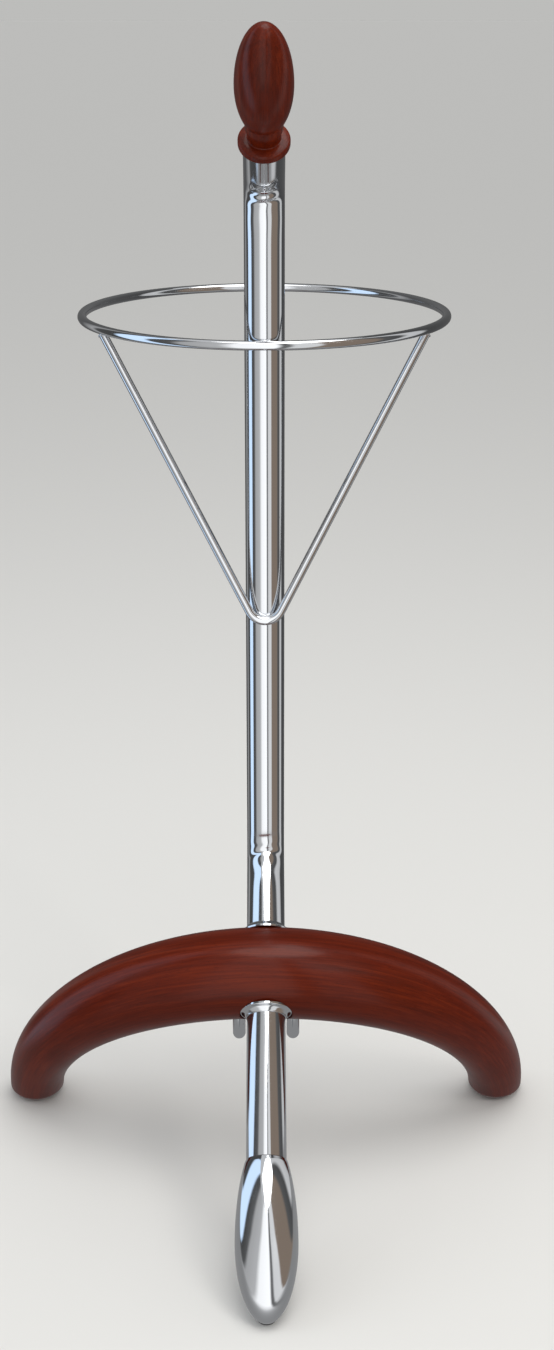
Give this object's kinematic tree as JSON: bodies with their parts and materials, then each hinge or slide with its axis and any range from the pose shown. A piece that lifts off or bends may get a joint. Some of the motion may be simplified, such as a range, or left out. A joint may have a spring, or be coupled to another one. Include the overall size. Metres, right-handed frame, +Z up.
{
  "type": "valet stand",
  "caption": "Free-standing valet stand: bent chromed tube on a wooden arch and an egg-shaped toe, with a level garment ring, a V brace and a turned wooden grip.",
  "frame": {"origin": "on the floor, under the middle of the stand's overall box", "axes": "+Z up; -Y is the front, where the toe cap and the grip point; +Y is the side that the garment ring reaches over; X is across, with one foot of the arch each side"},
  "size_m": [0.5116, 0.667, 1.0179],
  "materials": {
    "chromed_tube": "polished chrome plate on steel tube",
    "chromed_rod": "polished chrome plate on steel rod",
    "chromed_fittings": "polished chrome plate",
    "lacquered_wood": "red-brown mahogany stain under satin lacquer",
    "plated_screws": "zinc plated",
    "black_plastic": "moulded, matt",
    "rubber_pad": "matt"
  },
  "bodies": {
    "root": {"main_tube": "chromed_tube", "garment_ring": "chromed_rod", "brace_rod": "chromed_rod", "ring_weld": "chromed_rod", "brace_weld": "chromed_rod", "brace_tip_welds": "chromed_rod", "base_arch": "lacquered_wood", "grip": "lacquered_wood", "tube_lock_screw": "plated_screws", "crown_bolts": "plated_screws", "crown_nuts": "chromed_fittings", "front_collar": "chromed_fittings", "rear_collar": "chromed_fittings", "toe_cap": "chromed_fittings", "toe_pad": "rubber_pad", "toe_plug": "black_plastic", "toe_stud": "plated_screws", "grip_plug": "black_plastic", "grip_stud": "plated_screws", "foot_glide_left": "black_plastic", "foot_glide_right": "black_plastic", "glide_nails": "plated_screws"}
  },
  "joints": []
}
